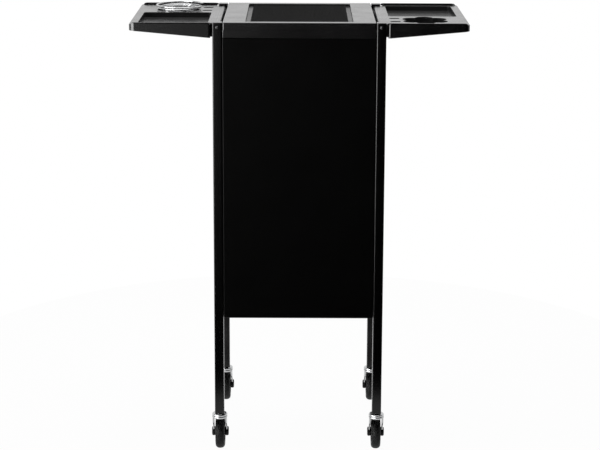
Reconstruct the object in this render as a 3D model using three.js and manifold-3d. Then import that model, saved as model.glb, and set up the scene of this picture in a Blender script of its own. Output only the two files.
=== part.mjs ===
// Spa trolley cart: four square posts on castors carry a closed cabinet with
// pull-out drawers, a recessed top with a rubber mat, and two side trays that
// fold up about pins in the posts.  Millimetres, +Z up.  The drawers open
// towards +Y, so -Y is the plain closed side.  The origin is on the floor,
// under the middle of the box that holds the whole trolley.

import * as THREE from "three";
import { mergeVertices } from "three/addons/utils/BufferGeometryUtils.js";
import Module from "manifold-3d";

const wasm = await Module();
wasm.setup();

// ---------------------------------------------------------------- dimensions

// Running and seating clearance wherever two pieces meet.
const gap = 0.3;

// How far a cutting or joining solid runs past the face that it meets.
const overlap = 1;

// Body and posts.
const bodyWidth = 360;
const bodyDepth = 345;
const topHeight = 940;
const postSize = 20;
const postWall = 1.5;
const postCorner = 2;
const capThickness = 3;
const capPlugDepth = 3.5;

// Sheet panels between the posts.
const sheet = 1.5;
const panelInset = 1;
const panelFold = 5;
const bottomPanHeight = 14;

// Moulded top and its mat.
const topGap = 1.3;
const topWall = 3.5;
const topRecessWidth = 226;
const topRecessLip = 18;
const topRecessDepth = 5;
const topSkirt = 16;
const frontApron = 32;
const matWidth = 204;
const matMargin = 1.5;
const matThickness = 2.5;

// Drawers, from the lowest up.
const drawerFrontHeights = [181, 101, 101, 101, 101];
const drawerSeam = 3;
const drawerHeadroom = 4;
const drawerWall = 2.5;
const drawerFrontThickness = 14;
const drawerFrontGap = 1.3;
const drawerFlange = 10;
const drawerFlangeThickness = 3;
const drawerFlangeDrop = 12;
const drawerRearSpace = 8;
const drawerBodyDrop = 8;
const gripWidth = 120;
const gripDepth = 22;
const guideWall = 2;
const guideLedge = 3;

// Side trays.
const trayWidth = 167.9;
const trayGap = 4.6;
const trayInnerDrop = 32;
const trayOuterDrop = 17;
const trayWall = 3;
const trayLipHeight = 4;
const trayLipThickness = 3;
const trayRim = 16;
const trayRecessDepth = 7;
const trayCorner = 12;
const platformDepth = 135;
const pinDrop = 10;
const pinRadius = 2;
const pinHeadRadius = 3.5;
const pinHeadHeight = 1.6;
const pinHeadFlat = 2.4;
const pinHeadRound = 1;
const pinGrip = 14;
const knuckleRadius = 6.5;
const stopHeight = 7;

// Scalloped tool opening in each tray.
const toolHoleFromEdge = 82;
const toolHoleInset = 79.4;
const toolHoleCore = 38;
const toolHoleLobeRadius = 15.5;
const toolHoleLobePitch = 33;
const toolHoleLobes = 6;

// Wire spiral that holds a hair dryer in the left tray's opening.
const wireRadius = 2;
const spiralFlare = 6;
const spiralSeatLap = 6;
const spiralNeckClear = 1.5;
const spiralFootRadius = 14;
const spiralRise = 9;
const spiralDrop = 50;

// Castors.
const wheelRadius = 37.5;
const wheelWidth = 20;
const wheelShoulder = 5;
const hubRadius = 24;
const hubDish = 3;
const hubBevel = 3;
const bossWall = 4;
const bossFoot = 7;
const shoulderSteps = 3;
const castorTrail = 28;
const axleRadius = 4;
const forkPlate = 3;
const forkInner = 12.5;
const crownRadius = 16.5;
const wheelHeadroom = 4.5;
const crownThickness = 10;
const crownRoundDrop = 3;
const crownRoundInset = 5;
const crownMidDrop = 1;
const crownMidInset = 2;
const crownHollow = 4;
const forkEyeRadius = 10;
const forkEyeFrom = 1.1 * Math.PI;
const forkEyeTo = 2.1 * Math.PI;
const cheekHalfWidth = 9;
const cheekRearWidth = 15;
const cheekTopDrop = 4;
const cheekFrontDrop = 6;
const cheekRearDrop = 4;
const cheekEyeReach = 9.5;
const cheekEyeDrop = 3;
const stemRadius = 5.5;
const stemReach = 35;
const stemFlangeThickness = 0.6;
const stemFlangeRadius = 9.5;
const stemHeadRadius = 8.5;
const stemHeadHeight = 2.5;
const stemHeadRoom = 1;
const axleCapRadius = 11;
const axleCapThickness = 2.4;
const axleCapSkin = 1;
const axleCapBevel = 1.2;
const socketFlange = 2;
const socketDepth = 34;

// Facets on small, middle and large rounds, and steps in a corner's quarter turn.
const fineSides = 16;
const midSides = 24;
const wheelSides = 24;
const cornerSteps = 2;
const trayCornerSteps = 3;
const cheekSteps = 8;
const wireSteps = 3;
const stepsPerTurn = 12;

// Points closer than this are one point.
const weldDistance = 1e-4;

// ------------------------------------------------------------- derived sizes

const halfWidth = bodyWidth / 2;
const halfDepth = bodyDepth / 2;
const postX = halfWidth - postSize / 2;
const postY = halfDepth - postSize / 2;
const innerX = halfWidth - postSize;
const innerY = halfDepth - postSize;
const pinX = postX;
const pinZ = topHeight - pinDrop;
const trayInner = halfWidth + trayGap;
const trayReach = trayInner + trayWidth;
const toolHoleCentre = trayInner + toolHoleInset;
const trayRimTop = topHeight - trayLipHeight;
const trayFloorTop = trayRimTop - trayRecessDepth;
const toolHoleY = halfDepth - toolHoleFromEdge;

// The wire passes down through the opening's core and lies on the cusps around it.
const spiralNeckRadius = toolHoleCore - wireRadius - spiralNeckClear;
const spiralSeatRadius = toolHoleCore + spiralSeatLap;
const spiralTopRadius = spiralSeatRadius + spiralFlare;

// The cabinet hangs from the top: the drawers set its height and the legs take the rest.
const drawerStack = drawerFrontHeights.reduce((sum, height) => sum + height + drawerSeam, 0);
const bottomPanTop = topHeight - topSkirt - drawerHeadroom - drawerStack;
const panelFloor = bottomPanTop - bottomPanHeight;

// The wheel sets the height of the fork, and the fork that of the post's foot.
const crownBottom = 2 * wheelRadius + wheelHeadroom;
const crownTop = crownBottom + crownThickness;
const flangeTop = crownTop + gap + stemFlangeThickness;
const socketBottom = flangeTop + gap;
const postFloor = socketBottom + socketFlange + gap;
const stemTop = postFloor + stemReach;

// The castors set the box: the front crowns at one end, the rear wheels at the other.
const boxFront = -postY - crownRadius;
const boxRear = postY + castorTrail + wheelRadius;
const originShift = -(boxFront + boxRear) / 2;

// ------------------------------------------------------------------- colours

function finish(color, roughness, metalness) {
  return new THREE.MeshStandardMaterial({ color, roughness, metalness });
}

const blackSteel = finish(0x141414, 0.3, 0.2);
const blackPlastic = finish(0x1c1c1c, 0.35, 0);
const blackRubber = finish(0x2a2a2a, 0.8, 0);
const wheelPlastic = finish(0x262626, 0.55, 0);
const chrome = finish(0xd8d8da, 0.12, 1);
const zincSteel = finish(0x9a9a9c, 0.35, 1);

// ------------------------------------------------------------------- helpers

function toManifold(geometry) {
  const bare = geometry.clone();
  bare.deleteAttribute("normal");
  bare.deleteAttribute("uv");
  const merged = mergeVertices(bare, weldDistance);
  const vertProperties = new Float32Array(merged.attributes.position.array);
  const triVerts = new Uint32Array(merged.index.array);
  return new wasm.Manifold(new wasm.Mesh({ numProp: 3, vertProperties, triVerts }));
}

function fromManifold(solid) {
  const mesh = solid.getMesh();
  const geometry = new THREE.BufferGeometry();
  geometry.setAttribute("position", new THREE.BufferAttribute(mesh.vertProperties, 3));
  geometry.setIndex(new THREE.BufferAttribute(mesh.triVerts, 1));
  geometry.computeVertexNormals();
  return geometry;
}

// A box between two corners.
function box(x0, x1, y0, y1, z0, z1) {
  const geometry = new THREE.BoxGeometry(x1 - x0, y1 - y0, z1 - z0);
  geometry.translate((x0 + x1) / 2, (y0 + y1) / 2, (z0 + z1) / 2);
  return geometry;
}

function solidBox(x0, x1, y0, y1, z0, z1) {
  return toManifold(box(x0, x1, y0, y1, z0, z1));
}

// A rectangle with rounded corners, as a shape in its own plane.
function roundedRectangle(width, height, radius) {
  const shape = new THREE.Shape();
  const x = width / 2;
  const y = height / 2;
  shape.moveTo(-x + radius, -y);
  shape.lineTo(x - radius, -y);
  shape.absarc(x - radius, -y + radius, radius, -Math.PI / 2, 0, false);
  shape.lineTo(x, y - radius);
  shape.absarc(x - radius, y - radius, radius, 0, Math.PI / 2, false);
  shape.lineTo(-x + radius, y);
  shape.absarc(-x + radius, y - radius, radius, Math.PI / 2, Math.PI, false);
  shape.lineTo(-x, -y + radius);
  shape.absarc(-x + radius, -y + radius, radius, Math.PI, 1.5 * Math.PI, false);
  return shape;
}

// A shape drawn in X and Y, raised along Z from one height to another.
function raised(shape, bottom, top, curveSegments = 4) {
  const settings = { depth: top - bottom, bevelEnabled: false, curveSegments };
  const geometry = new THREE.ExtrudeGeometry(shape, settings);
  geometry.translate(0, 0, bottom);
  return geometry;
}

// A round bar along X, Y or Z, from one place on that axis to another.
function rod(axis, radius, from, to, sides = fineSides) {
  const geometry = new THREE.CylinderGeometry(radius, radius, to - from, sides);
  if (axis === "x") geometry.rotateZ(-Math.PI / 2);
  if (axis === "z") geometry.rotateX(Math.PI / 2);
  const middle = (from + to) / 2;
  if (axis === "x") geometry.translate(middle, 0, 0);
  if (axis === "y") geometry.translate(0, middle, 0);
  if (axis === "z") geometry.translate(0, 0, middle);
  return geometry;
}

// A profile of [radius, height] points turned about Z.
function turned(points, sides = midSides) {
  const profile = points.map(([r, z]) => new THREE.Vector2(r, z));
  const geometry = new THREE.LatheGeometry(profile, sides);
  geometry.rotateX(Math.PI / 2);
  return geometry;
}

function moved(geometry, x, y, z) {
  const copy = geometry.clone();
  copy.translate(x, y, z);
  return copy;
}

const trolley = new THREE.Group();

// Adds one named piece to a group and returns its mesh.
function piece(name, geometry, material, parent = trolley) {
  const mesh = new THREE.Mesh(geometry, material);
  mesh.name = name;
  parent.add(mesh);
  return mesh;
}

const corners = [
  { name: "front_left", x: -1, y: -1 },
  { name: "front_right", x: 1, y: -1 },
  { name: "rear_left", x: -1, y: 1 },
  { name: "rear_right", x: 1, y: 1 },
];

const sides = [
  { name: "left", x: -1 },
  { name: "right", x: 1 },
];

// --------------------------------------------------------------------- posts

// A square tube, open at both ends, with a cross bore for the tray's pin.
function postGeometry() {
  const outline = roundedRectangle(postSize, postSize, postCorner);
  const bore = postSize - 2 * postWall;
  outline.holes.push(roundedRectangle(bore, bore, postCorner - postWall));
  const tube = toManifold(raised(outline, postFloor, topHeight - capThickness, cornerSteps));
  const drill = rod("y", pinRadius + gap, -postSize, postSize, fineSides);
  return fromManifold(tube.subtract(toManifold(moved(drill, 0, 0, pinZ))));
}

// A push-in plug that closes the top of a post.
function postCapGeometry() {
  const plug = postSize - 2 * postWall - 2 * gap;
  const seat = topHeight - capThickness + gap;
  const lid = raised(roundedRectangle(postSize, postSize, postCorner), seat, topHeight, cornerSteps);
  const stub = solidBox(-plug / 2, plug / 2, -plug / 2, plug / 2, seat - capPlugDepth, seat + overlap);
  return fromManifold(toManifold(lid).add(stub));
}

const post = postGeometry();
const postCap = postCapGeometry();
for (const corner of corners) {
  const tube = piece("post_" + corner.name, post, blackSteel);
  tube.position.set(corner.x * postX, corner.y * postY, 0);
  const cap = piece("post_cap_" + corner.name, postCap, blackPlastic);
  cap.position.set(corner.x * postX, corner.y * postY, 0);
}

// -------------------------------------------------------------------- panels

// Closed side: one sheet between the posts, with its lower edge folded in.
function closedPanelGeometry() {
  const x = innerX - gap;
  const face = -halfDepth + panelInset;
  const top = topHeight - frontApron - gap;
  const skin = solidBox(-x, x, face, face + sheet, panelFloor, top);
  const fold = solidBox(-x, x, face, face + panelFold, panelFloor, panelFloor + sheet);
  return fromManifold(skin.add(fold));
}

const sidePanelTop = topHeight - trayInnerDrop + stopHeight + sheet;
const sidePanelFace = halfWidth - panelInset;

function sidePanelGeometry() {
  const y = innerY - gap;
  return box(sidePanelFace - sheet, sidePanelFace, -y, y, panelFloor, sidePanelTop);
}

// The floor of the cabinet: a shallow pan with its edges turned up.
function bottomPanGeometry() {
  const x = innerX - gap;
  const near = -halfDepth + panelInset + panelFold + gap;
  const far = halfDepth - panelInset;
  const block = solidBox(-x, x, near, far, panelFloor, bottomPanTop);
  const hollow = solidBox(
    -x + sheet, x - sheet, near + sheet, far - sheet, panelFloor + sheet, bottomPanTop + overlap,
  );
  return fromManifold(block.subtract(hollow));
}

piece("closed_panel", closedPanelGeometry(), blackSteel);
for (const side of sides) {
  const panel = piece("side_panel_" + side.name, sidePanelGeometry(), blackSteel);
  panel.rotation.z = side.x < 0 ? Math.PI : 0;
}
piece("bottom_pan", bottomPanGeometry(), blackSteel);

// ----------------------------------------------------------------------- top

const recessFloor = topHeight - topRecessDepth;
const topX = innerX - topGap;

// A moulded shell: recessed deck, skirts on three sides and a deep apron.
function topGeometry() {
  const y = halfDepth;
  const skirtBottom = topHeight - topSkirt;
  const block = solidBox(-topX, topX, -y, y, skirtBottom, topHeight);
  const apronTop = skirtBottom + overlap;
  const apron = solidBox(-topX, topX, -y, -y + topWall, topHeight - frontApron, apronTop);
  const recess = solidBox(
    -topRecessWidth / 2, topRecessWidth / 2,
    -y + topRecessLip, y - topRecessLip, recessFloor, topHeight + overlap,
  );
  const under = solidBox(
    -topX + topWall, topX - topWall,
    -y + topWall, y - topWall, skirtBottom - overlap, recessFloor - topWall,
  );
  return fromManifold(block.add(apron).subtract(recess).subtract(under));
}

function matGeometry() {
  const y = halfDepth - topRecessLip - matMargin;
  const x = matWidth / 2;
  return box(-x, x, -y, y, recessFloor + gap, recessFloor + gap + matThickness);
}

piece("top_deck", topGeometry(), blackPlastic);
piece("top_mat", matGeometry(), blackRubber);

// ------------------------------------------------------------------- drawers

// Each drawer front stands a seam above the one below it.
const drawers = [];
let drawerBase = bottomPanTop + drawerSeam;
for (const height of drawerFrontHeights) {
  drawers.push({ base: drawerBase, top: drawerBase + height });
  drawerBase += height + drawerSeam;
}

const guideFace = innerX - gap;
const ledgeInner = guideFace - guideWall - drawerFlange;
const ledgeRoot = guideFace - guideWall + overlap;
const flangeOuter = guideFace - guideWall - gap;
const drawerBodyX = ledgeInner - gap;
const drawerFace = halfDepth;
const drawerRear = -halfDepth + panelInset + sheet + drawerRearSpace;
const drawerInner = drawerFace - drawerFrontThickness;

// Height of the underside of a drawer's two side flanges.
function flangeUnderside(drawer) {
  return drawer.top - drawerFlangeDrop - drawerFlangeThickness;
}

// An open box with a thick front, a finger notch and a flange on each side.
function drawerGeometry(drawer) {
  const bottom = drawer.base + drawerBodyDrop;
  const wallTop = drawer.top - drawerFlangeDrop;
  const x = drawerBodyX;
  const body = solidBox(-x, x, drawerRear, drawerInner + overlap, bottom, wallTop);
  const frontX = innerX - drawerFrontGap;
  const front = solidBox(-frontX, frontX, drawerInner, drawerFace, drawer.base, drawer.top);
  const flange = solidBox(
    -flangeOuter, flangeOuter, drawerRear, drawerInner + overlap, flangeUnderside(drawer), wallTop,
  );
  const hollow = solidBox(
    -x + drawerWall, x - drawerWall,
    drawerRear + drawerWall, drawerInner - drawerWall, bottom + drawerWall, drawer.top + overlap,
  );
  const notch = solidBox(
    -gripWidth / 2, gripWidth / 2,
    drawerInner - drawerWall - overlap, drawerFace + overlap,
    drawer.top - gripDepth, drawer.top + overlap,
  );
  return fromManifold(body.add(front).add(flange).subtract(hollow).subtract(notch));
}

// One moulding per side: a plate with a pair of ledges for every drawer.
function guideGeometry() {
  const y0 = drawerRear;
  const y1 = drawerInner - gap;
  const first = drawers[0];
  const last = drawers[drawers.length - 1];
  let solid = solidBox(guideFace - guideWall, guideFace, y0, y1, first.base, last.top);
  for (const drawer of drawers) {
    const under = flangeUnderside(drawer) - gap;
    const over = under + drawerFlangeThickness + 2 * gap;
    const lower = solidBox(ledgeInner, ledgeRoot, y0, y1, under - guideLedge, under);
    const upper = solidBox(ledgeInner, ledgeRoot, y0, y1, over, over + guideLedge);
    solid = solid.add(lower).add(upper);
  }
  return fromManifold(solid);
}

drawers.forEach((drawer, index) => {
  piece("drawer_" + (index + 1), drawerGeometry(drawer), blackPlastic);
});

// The left guide is the right one mirrored, which its symmetry front to back
// turns into a half turn about the middle of its length.
const guide = guideGeometry();
const guideMiddle = (drawerRear + drawerInner - gap) / 2;
for (const side of sides) {
  const holder = new THREE.Group();
  holder.position.y = guideMiddle;
  holder.rotation.z = side.x < 0 ? Math.PI : 0;
  trolley.add(holder);
  piece("drawer_guide_" + side.name, moved(guide, 0, -guideMiddle, 0), blackPlastic, holder);
}

// --------------------------------------------------------------------- trays

// The scalloped opening: a round core with lobes about it.
function toolHole(bottom, top) {
  let hole = toManifold(rod("z", toolHoleCore, bottom, top, midSides));
  const lobe = rod("z", toolHoleLobeRadius, bottom, top, fineSides);
  for (let i = 0; i < toolHoleLobes; i += 1) {
    const angle = Math.PI / 2 + (i * 2 * Math.PI) / toolHoleLobes;
    const x = toolHoleLobePitch * Math.cos(angle);
    const y = toolHoleLobePitch * Math.sin(angle);
    hole = hole.add(toManifold(moved(lobe, x, y, 0)));
  }
  return hole.translate(toolHoleCentre, -toolHoleY, 0);
}

// Plan of the tray, square at the post side and rounded at the outer corners.
function trayPlan(inset) {
  const shape = new THREE.Shape();
  const x0 = trayInner + inset;
  const x1 = trayReach - inset;
  const y = halfDepth - inset;
  const r = trayCorner - inset;
  shape.moveTo(x0, -y);
  shape.lineTo(x1 - r, -y);
  shape.absarc(x1 - r, -y + r, r, -Math.PI / 2, 0, false);
  shape.lineTo(x1, y - r);
  shape.absarc(x1 - r, y - r, r, 0, Math.PI / 2, false);
  shape.lineTo(x0, y);
  return shape;
}

// Everything below the sloping underside, to be cut away.
function trayUnderCut() {
  const shape = new THREE.Shape();
  shape.moveTo(trayInner, topHeight - trayInnerDrop);
  shape.lineTo(trayReach + overlap, topHeight - trayOuterDrop);
  shape.lineTo(trayReach + overlap, topHeight - 2 * trayInnerDrop);
  shape.lineTo(trayInner - overlap, topHeight - 2 * trayInnerDrop);
  shape.lineTo(trayInner - overlap, topHeight - trayInnerDrop);
  const length = bodyDepth + 2 * overlap;
  const geometry = raised(shape, -length / 2, length / 2);
  geometry.rotateX(Math.PI / 2);
  return toManifold(geometry);
}

// The right tray, with its tool platform at -Y.
function trayGeometry() {
  const y = halfDepth;
  const low = topHeight - trayInnerDrop - overlap;
  const high = topHeight + overlap;
  let solid = toManifold(raised(trayPlan(0), low, topHeight, trayCornerSteps));

  // Long lips stay at full height; the rim between them is lower.
  const lipY = y - trayLipThickness;
  const between = solidBox(
    trayInner - overlap, trayReach + overlap, -lipY, lipY, trayRimTop, high,
  );
  solid = solid.subtract(between);

  // Recess between the rims, and the raised platform beside it.
  const platformEdge = -y + platformDepth;
  const recessX0 = trayInner + trayRim;
  const recessX1 = trayReach - trayRim;
  const recess = solidBox(
    recessX0, recessX1, platformEdge, y - trayRim, trayFloorTop, high,
  );
  solid = solid.subtract(recess);

  // Hollow underside: one wall thick under the rim, platform and recess.
  const hollow = toManifold(
    raised(trayPlan(trayWall), low - overlap, trayRimTop - trayWall, trayCornerSteps),
  );
  const pan = solidBox(
    recessX0 - trayWall, recessX1 + trayWall,
    platformEdge - trayWall, y - trayRim + trayWall, trayFloorTop - trayWall, topHeight,
  );
  solid = solid.subtract(hollow.subtract(pan));
  solid = solid.subtract(toolHole(low - overlap, high));
  solid = solid.subtract(trayUnderCut());

  // Flange and knuckle between the posts, with the pin's bore.
  const knuckleY = innerY - gap;
  const flange = solidBox(
    pinX, trayInner + overlap, -knuckleY, knuckleY, trayRimTop - trayWall, trayRimTop,
  );
  const barrel = moved(rod("y", knuckleRadius, -knuckleY, knuckleY, midSides), pinX, 0, pinZ);
  const stopTop = topHeight - trayInnerDrop + stopHeight;
  const stopFace = sidePanelFace + gap;
  const stop = solidBox(
    stopFace, trayInner + overlap, -knuckleY, knuckleY, topHeight - trayInnerDrop, stopTop,
  );
  solid = solid.add(flange).add(toManifold(barrel)).add(stop);
  const bore = moved(rod("y", pinRadius + gap, -y, y, fineSides), pinX, 0, pinZ);
  return fromManifold(solid.subtract(toManifold(bore)));
}

// A headed pin from outside the post into the knuckle, pointing along +Y.
function pinGeometry() {
  const head = -halfDepth - pinHeadHeight;
  const tip = -innerY + pinGrip;
  const profile = [
    [0, head],
    [pinHeadFlat, head],
    [pinHeadRadius, head + pinHeadRound],
    [pinHeadRadius, -halfDepth - gap],
    [pinRadius, -halfDepth - gap],
    [pinRadius, tip],
    [0, tip],
  ];
  const geometry = turned(profile, fineSides);
  geometry.rotateX(-Math.PI / 2);
  return geometry;
}

const tray = trayGeometry();
const pin = pinGeometry();
for (const side of sides) {
  const mesh = piece("side_tray_" + side.name, tray, blackPlastic);
  mesh.rotation.z = side.x < 0 ? Math.PI : 0;
}
for (const corner of corners) {
  const mesh = piece("tray_pin_" + corner.name, pin, zincSteel);
  mesh.rotation.z = corner.y > 0 ? Math.PI : 0;
  mesh.position.set(corner.x * pinX, 0, pinZ);
}

// -------------------------------------------------------------- dryer spiral

// Radius and height of the wire along its length: a flat flared mouth that
// rests on the tray's platform, then a cone down through the opening.
const spiralSeat = trayRimTop + gap + wireRadius;
const spiralStages = [
  { turns: 1.5, r0: spiralTopRadius, r1: spiralSeatRadius, z0: spiralRise, z1: 0 },
  { turns: 1, r0: spiralSeatRadius, r1: spiralNeckRadius, z0: 0, z1: 0 },
  { turns: 4, r0: spiralNeckRadius, r1: spiralFootRadius, z0: 0, z1: -spiralDrop },
];
function spiralGeometry() {
  const points = [];
  let turn = 0;
  for (const stage of spiralStages) {
    const steps = Math.round(stage.turns * stepsPerTurn);
    for (let i = points.length === 0 ? 0 : 1; i <= steps; i += 1) {
      const t = i / steps;
      const angle = 2 * Math.PI * (turn + t * stage.turns);
      const radius = THREE.MathUtils.lerp(stage.r0, stage.r1, t);
      const height = THREE.MathUtils.lerp(stage.z0, stage.z1, t);
      points.push(new THREE.Vector3(radius * Math.cos(angle), radius * Math.sin(angle), height));
    }
    turn += stage.turns;
  }
  const path = new THREE.CatmullRomCurve3(points);
  const section = new THREE.Shape();
  section.absarc(0, 0, wireRadius, 0, 2 * Math.PI, false);
  const settings = { steps: points.length - 1, extrudePath: path, curveSegments: wireSteps };
  const geometry = new THREE.ExtrudeGeometry(section, settings);
  return fromManifold(toManifold(geometry));
}

const spiral = piece("dryer_spiral", spiralGeometry(), chrome);
spiral.position.set(-toolHoleCentre, toolHoleY, spiralSeat);

// ------------------------------------------------------------------- castors

// A plug in the foot of the post that holds the castor's stem.
function socketGeometry() {
  const plug = postSize - 2 * postWall - 2 * gap;
  const lid = raised(
    roundedRectangle(postSize, postSize, postCorner), socketBottom, postFloor - gap, cornerSteps,
  );
  const stub = solidBox(
    -plug / 2, plug / 2, -plug / 2, plug / 2, postFloor - gap - overlap, postFloor + socketDepth,
  );
  const bore = rod("z", stemRadius + gap, postFloor - socketDepth, postFloor + 2 * socketDepth);
  return fromManifold(toManifold(lid).add(stub).subtract(toManifold(bore)));
}

// Stem with a flange above the fork's crown and a riveted head below it.
function stemGeometry() {
  return turned([
    [0, crownBottom - gap - stemHeadHeight],
    [stemHeadRadius, crownBottom - gap - stemHeadHeight],
    [stemHeadRadius, crownBottom - gap],
    [stemRadius, crownBottom - gap],
    [stemRadius, crownTop + gap],
    [stemFlangeRadius, crownTop + gap],
    [stemFlangeRadius, flangeTop],
    [stemRadius, flangeTop],
    [stemRadius, stemTop],
    [0, stemTop],
  ], fineSides);
}

// A round crown with two cheeks that slant back to the axle.
function forkGeometry() {
  const crown = toManifold(turned([
    [0, crownBottom],
    [crownRadius, crownBottom],
    [crownRadius, crownTop - crownRoundDrop],
    [crownRadius - crownMidInset, crownTop - crownMidDrop],
    [crownRadius - crownRoundInset, crownTop],
    [0, crownTop],
  ]));
  const cheek = new THREE.Shape();
  const eyeY = castorTrail;
  const eyeZ = wheelRadius;
  cheek.moveTo(-cheekHalfWidth, crownTop - cheekTopDrop);
  cheek.lineTo(-cheekHalfWidth, crownBottom - cheekFrontDrop);
  cheek.lineTo(eyeY - cheekEyeReach, eyeZ - cheekEyeDrop);
  cheek.absarc(eyeY, eyeZ, forkEyeRadius, forkEyeFrom, forkEyeTo, false);
  cheek.lineTo(cheekRearWidth, crownBottom - cheekRearDrop);
  cheek.lineTo(cheekHalfWidth, crownTop - cheekTopDrop);
  const plate = raised(cheek, 0, forkPlate, cheekSteps);
  plate.rotateX(Math.PI / 2);
  plate.rotateZ(Math.PI / 2);
  let fork = crown;
  const cheekHollow = rod("z", forkInner, crownBottom - overlap, crownBottom + crownHollow);
  fork = fork.subtract(toManifold(cheekHollow));
  for (const x of [forkInner, -forkInner - forkPlate]) {
    fork = fork.add(toManifold(moved(plate, x, 0, 0)));
  }
  const stemBore = rod("z", stemRadius + gap, crownBottom - overlap, crownTop + overlap);
  const headRoom = rod("z", stemHeadRadius + stemHeadRoom, crownBottom - overlap, crownBottom);
  const reach = forkInner + forkPlate + overlap;
  const axleBore = moved(rod("x", axleRadius + gap, -reach, reach), 0, castorTrail, wheelRadius);
  fork = fork.subtract(toManifold(stemBore));
  fork = fork.subtract(toManifold(headRoom));
  return fromManifold(fork.subtract(toManifold(axleBore)));
}

// Wheel turned about Z, then laid so that its axle lies along X.
function wheelGeometry() {
  const half = wheelWidth / 2;
  const bore = axleRadius + gap;
  const rim = wheelRadius - wheelShoulder;
  const quarter = [];
  for (let i = 0; i <= shoulderSteps; i += 1) {
    const angle = (i / shoulderSteps) * (Math.PI / 2);
    quarter.push([rim + wheelShoulder * Math.sin(angle), wheelShoulder * (Math.cos(angle) - 1)]);
  }
  const upper = quarter.map(([r, z]) => [r, half + z]);
  const lower = quarter.map(([r, z]) => [r, -half - z]).reverse();
  const profile = [
    [bore, -half],
    [bore, half],
    [bore + bossWall, half],
    [bore + bossFoot, half - hubDish],
    [hubRadius, half - hubDish],
    [hubRadius + hubBevel, half],
    ...upper,
    ...lower,
    [hubRadius + hubBevel, -half],
    [hubRadius, -half + hubDish],
    [bore + bossFoot, -half + hubDish],
    [bore + bossWall, -half],
    [bore, -half],
  ];
  const outline = profile.reverse();
  const geometry = turned(outline, wheelSides);
  geometry.rotateY(Math.PI / 2);
  return geometry;
}

// A cover pushed over the axle's end.
function axleCapGeometry() {
  const inner = forkInner + forkPlate + gap;
  const outer = inner + axleCapThickness;
  const geometry = turned([
    [0, outer - axleCapSkin],
    [axleRadius + gap, outer - axleCapSkin],
    [axleRadius + gap, inner],
    [axleCapRadius, inner],
    [axleCapRadius, outer - axleCapBevel],
    [axleCapRadius - axleCapBevel, outer],
    [0, outer],
  ], fineSides);
  geometry.rotateY(Math.PI / 2);
  return geometry;
}

const axleEnd = forkInner + forkPlate + gap + axleCapThickness - axleCapSkin - gap;
const socket = socketGeometry();
const stem = stemGeometry();
const fork = forkGeometry();
const wheel = wheelGeometry();
const axle = rod("x", axleRadius, -axleEnd, axleEnd);
const axleCap = axleCapGeometry();
for (const corner of corners) {
  const castor = new THREE.Group();
  castor.position.set(corner.x * postX, corner.y * postY, 0);
  trolley.add(castor);
  piece("stem_socket_" + corner.name, socket, blackPlastic, castor);
  piece("castor_stem_" + corner.name, stem, zincSteel, castor);
  piece("castor_fork_" + corner.name, fork, chrome, castor);
  const hub = new THREE.Group();
  hub.position.set(0, castorTrail, wheelRadius);
  castor.add(hub);
  piece("castor_axle_" + corner.name, axle, zincSteel, hub);
  piece("castor_wheel_" + corner.name, wheel, wheelPlastic, hub);
  piece("axle_cap_a_" + corner.name, axleCap, blackPlastic, hub);
  const far = piece("axle_cap_b_" + corner.name, axleCap, blackPlastic, hub);
  far.rotation.z = Math.PI;
}

trolley.position.y = originShift;

export default trolley;
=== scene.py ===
# %% [markdown]
# A salon and spa trolley, black all over: a closed cabinet on four legs of
# square tube, a moulded top with a rubber mat, two side trays on hinge pins,
# a chrome spiral that holds a hair dryer, and four chrome castors.
# The measured model comes in first and stays as it is. Each visible piece is
# then made again with the roundings and finishes that the plain model lacks.

# %% Load the measured frame
import math
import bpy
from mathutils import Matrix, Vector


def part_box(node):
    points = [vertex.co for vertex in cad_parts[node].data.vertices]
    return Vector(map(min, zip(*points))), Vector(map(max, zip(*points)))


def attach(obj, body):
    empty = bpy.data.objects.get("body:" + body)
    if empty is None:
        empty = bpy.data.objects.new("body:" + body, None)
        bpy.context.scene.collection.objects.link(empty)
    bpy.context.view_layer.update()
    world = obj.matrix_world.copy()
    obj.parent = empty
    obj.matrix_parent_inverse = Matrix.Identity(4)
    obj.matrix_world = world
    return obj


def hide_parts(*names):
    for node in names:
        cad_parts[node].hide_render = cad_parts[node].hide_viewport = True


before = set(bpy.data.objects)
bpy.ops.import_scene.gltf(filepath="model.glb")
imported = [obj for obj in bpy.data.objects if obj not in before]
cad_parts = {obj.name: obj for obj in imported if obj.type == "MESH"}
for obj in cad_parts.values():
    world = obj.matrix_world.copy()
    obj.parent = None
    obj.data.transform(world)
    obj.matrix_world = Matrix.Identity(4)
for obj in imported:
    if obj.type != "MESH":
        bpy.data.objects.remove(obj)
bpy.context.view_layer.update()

from types import SimpleNamespace

import bmesh
import bpy
from mathutils import Matrix, Vector

# %% [markdown]
# The pieces are easiest to think about in millimetres from the middle of the
# cabinet. The frame is in metres, and its middle lies a little forward of the
# cabinet's, because the castors trail. One matrix carries every finished mesh
# over, so that its object can stay at the origin.

# %% Millimetres from the middle of the cabinet
deck_low, deck_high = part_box("top_deck")
MIDDLE = (deck_low.y + deck_high.y) / 2
TO_FRAME = Matrix.Translation((0, MIDDLE, 0)) @ Matrix.Scale(0.001, 4)


def span(node):
    """The box of a measured node, in millimetres from the cabinet's middle."""
    low, high = (TO_FRAME.inverted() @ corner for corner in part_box(node))
    return SimpleNamespace(
        x0=low.x, x1=high.x, y0=low.y, y1=high.y, z0=low.z, z1=high.z,
    )


CORNERS = {
    "front_left": (-1, -1),
    "front_right": (1, -1),
    "rear_left": (-1, 1),
    "rear_right": (1, 1),
}
deck = span("top_deck")
print("top deck, mm", {k: round(v, 1) for k, v in vars(deck).items()})

# %% [markdown]
# The camera stands about four metres away and a little above the top, with a
# long lens, so that upright edges stay nearly parallel. It looks down by
# 13.7 degrees and leans by a fifth of a degree.

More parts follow.
